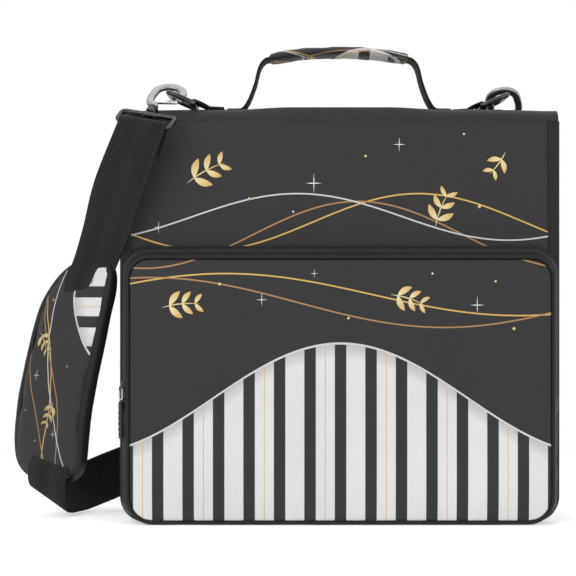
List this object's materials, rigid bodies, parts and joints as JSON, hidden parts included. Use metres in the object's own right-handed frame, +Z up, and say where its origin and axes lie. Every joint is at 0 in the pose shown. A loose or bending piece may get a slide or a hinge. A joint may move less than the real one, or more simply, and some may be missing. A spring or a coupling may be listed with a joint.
{
  "type": "zippered ring binder",
  "caption": "Cloth ring binder that zips shut round three sides, with a raised front pocket, a carry handle on its spine and a padded shoulder strap on snap hooks.",
  "frame": {"origin": "on the floor, under the middle of the spine, on the underside of the back wall", "axes": "+X along the spine to the viewer's right, +Y from the front cover to the back cover, +Z up from the opening edge to the spine"},
  "size_m": [0.4312, 0.122, 0.3716],
  "materials": {
    "cloth": "fine woven polyester, slight satin",
    "lining": "smooth woven lining",
    "board": "stiff board",
    "edge_tape": "woven edge tape with a rolled, shiny edge",
    "zip_chain": "woven tape with nylon coil teeth",
    "printed_cloth": "woven cloth with a printed pattern",
    "webbing": "ribbed woven webbing",
    "gunmetal": "die cast, dark nickel plated",
    "nickel": "bright nickel plated steel",
    "pull_tab": "moulded soft pull",
    "cast_hook": "cast zinc, satin grey plating"
  },
  "bodies": {
    "spine": {"spine_cloth": "cloth", "spine_board": "board", "spine_lining": "lining", "fold_cloth_front": "cloth", "fold_cloth_back": "cloth", "ring_plate": "nickel", "ring_rivet_left": "nickel", "ring_rivet_right": "nickel", "handle_webbing": "webbing", "handle_grip": "printed_cloth", "d_ring_tab_left": "webbing", "d_ring_tab_right": "webbing", "shoulder_strap": "webbing"},
    "front_cover": {"front_cover_cloth": "cloth", "front_cover_board": "board", "front_cover_lining": "lining", "front_cover_binding": "edge_tape", "front_cover_wall": "cloth", "main_zip_front": "zip_chain", "pocket_panel": "printed_cloth", "pocket_piping": "edge_tape", "pocket_wall": "printed_cloth", "pocket_zip_outer": "zip_chain", "pocket_zip_inner": "zip_chain", "inner_pocket_front": "lining"},
    "back_cover": {"back_cover_cloth": "cloth", "back_cover_board": "board", "back_cover_lining": "lining", "back_cover_binding": "edge_tape", "back_cover_wall": "cloth", "main_zip_back": "zip_chain", "inner_pocket_back": "lining"},
    "main_slider": {"main_slider": "gunmetal"},
    "main_pull": {"main_slider_pull": "gunmetal"},
    "pocket_slider": {"pocket_slider": "gunmetal"},
    "pocket_pull": {"pocket_pull_loop": "nickel", "pocket_pull_tab": "pull_tab"},
    "front_rings": {"ring_blade_front": "nickel", "ring_1_front": "nickel", "ring_2_front": "nickel", "ring_3_front": "nickel"},
    "back_rings": {"ring_blade_back": "nickel", "ring_1_back": "nickel", "ring_2_back": "nickel", "ring_3_back": "nickel"},
    "left_lever": {"ring_lever_left": "nickel"},
    "right_lever": {"ring_lever_right": "nickel"},
    "left_d_ring": {"d_ring_left": "gunmetal"},
    "right_d_ring": {"d_ring_right": "gunmetal"},
    "left_hook": {"hook_left": "cast_hook"},
    "right_hook": {"hook_right": "cast_hook"},
    "left_gate": {"hook_gate_left": "nickel"},
    "right_gate": {"hook_gate_right": "nickel"},
    "left_base": {"hook_base_left": "gunmetal"},
    "right_base": {"hook_base_right": "gunmetal"},
    "pad": {"shoulder_pad": "printed_cloth"},
    "adjuster": {"strap_adjuster": "gunmetal"}
  },
  "joints": [
    {"name": "front_cover_hinge", "type": "hinge", "parent": "spine", "child": "front_cover", "pos_m": [0, -0.03207, 0.31707], "axis": [-1, 0, 0], "range_deg": [0, 90], "deforming": ["fold_cloth_front", "shoulder_strap"]},
    {"name": "back_cover_hinge", "type": "hinge", "parent": "spine", "child": "back_cover", "pos_m": [0, 0.03207, 0.31707], "axis": [1, 0, 0], "range_deg": [0, 90], "deforming": ["fold_cloth_back"]},
    {"name": "main_slider_slide", "type": "slide", "parent": "back_cover", "child": "main_slider", "axis": [0, 0, -1], "range_m": [0, 0.24]},
    {"name": "main_pull_hinge", "type": "hinge", "parent": "main_slider", "child": "main_pull", "pos_m": [-0.16555, -0.006, 0.28955], "axis": [0, 1, 0], "range_deg": [0, 150]},
    {"name": "pocket_slider_slide", "type": "slide", "parent": "front_cover", "child": "pocket_slider", "axis": [0, 0, 1], "range_m": [0, 0.07]},
    {"name": "pocket_pull_hinge", "type": "hinge", "parent": "pocket_slider", "child": "pocket_pull", "pos_m": [-0.1682, -0.0442, 0.10338], "axis": [-0.477, 0.8789, 0], "range_deg": [0, 150]},
    {"name": "front_rings_hinge", "type": "hinge", "parent": "spine", "child": "front_rings", "pos_m": [0, -0.013, 0.3117], "axis": [-1, 0, 0], "range_deg": [0, 14]},
    {"name": "back_rings_hinge", "type": "hinge", "parent": "spine", "child": "back_rings", "pos_m": [0, 0.013, 0.3117], "axis": [1, 0, 0], "range_deg": [0, 14]},
    {"name": "left_lever_hinge", "type": "hinge", "parent": "spine", "child": "left_lever", "pos_m": [-0.1395, 0, 0.3042], "axis": [0, -1, 0], "range_deg": [0, 35]},
    {"name": "right_lever_hinge", "type": "hinge", "parent": "spine", "child": "right_lever", "pos_m": [0.1395, 0, 0.3042], "axis": [0, 1, 0], "range_deg": [0, 35]},
    {"name": "left_d_ring_hinge", "type": "hinge", "parent": "spine", "child": "left_d_ring", "pos_m": [-0.113, -0.008, 0.3244], "axis": [0, 1, 0], "range_deg": [0, 60]},
    {"name": "right_d_ring_hinge", "type": "hinge", "parent": "spine", "child": "right_d_ring", "pos_m": [0.113, 0.008, 0.3244], "axis": [0, -1, 0], "range_deg": [0, 60]},
    {"name": "left_hook_swing", "type": "hinge", "parent": "left_d_ring", "child": "left_hook", "pos_m": [-0.1331, -0.0185, 0.33335], "axis": [0, 1, 0], "range_deg": [0, 25]},
    {"name": "right_hook_swing", "type": "hinge", "parent": "right_d_ring", "child": "right_hook", "pos_m": [0.1331, 0.0185, 0.33335], "axis": [0, -1, 0], "range_deg": [0, 25]},
    {"name": "left_gate_hinge", "type": "hinge", "parent": "left_hook", "child": "left_gate", "pos_m": [-0.1389, -0.02901, 0.32514], "axis": [0, 0.6157, -0.788], "range_deg": [0, 25], "stiffness_Nm_per_rad": 0.02},
    {"name": "right_gate_hinge", "type": "hinge", "parent": "right_hook", "child": "right_gate", "pos_m": [0.1389, 0.02901, 0.32514], "axis": [0, -0.6157, -0.788], "range_deg": [0, 25], "stiffness_Nm_per_rad": 0.02},
    {"name": "left_base_swivel", "type": "hinge", "parent": "left_hook", "child": "left_base", "pos_m": [-0.14671, -0.04305, 0.31417], "axis": [0.2756, 0.7575, 0.5918], "range_deg": [-4, 25]},
    {"name": "right_base_swivel", "type": "hinge", "parent": "right_hook", "child": "right_base", "pos_m": [0.14671, 0.04305, 0.31417], "axis": [-0.2756, -0.7575, 0.5918], "range_deg": [-4, 25]},
    {"name": "pad_slide", "type": "slide", "parent": "spine", "child": "pad", "axis": [0.211, -0.0938, 0.973], "range_m": [-0.018, 0]},
    {"name": "adjuster_slide", "type": "slide", "parent": "back_cover", "child": "adjuster", "axis": [0.5293, 0, 0.8484], "range_m": [-0.02, 0.02]}
  ],
  "couplings": [
    {"joint": "back_rings_hinge", "follows": "front_rings_hinge", "ratio": 1},
    {"joint": "left_lever_hinge", "follows": "front_rings_hinge", "ratio": 2.5},
    {"joint": "right_lever_hinge", "follows": "front_rings_hinge", "ratio": 2.5},
    {"joint": "left_d_ring_hinge", "follows": "front_cover_hinge", "ratio": 0.66},
    {"joint": "right_d_ring_hinge", "follows": "back_cover_hinge", "ratio": 0.66}
  ]
}
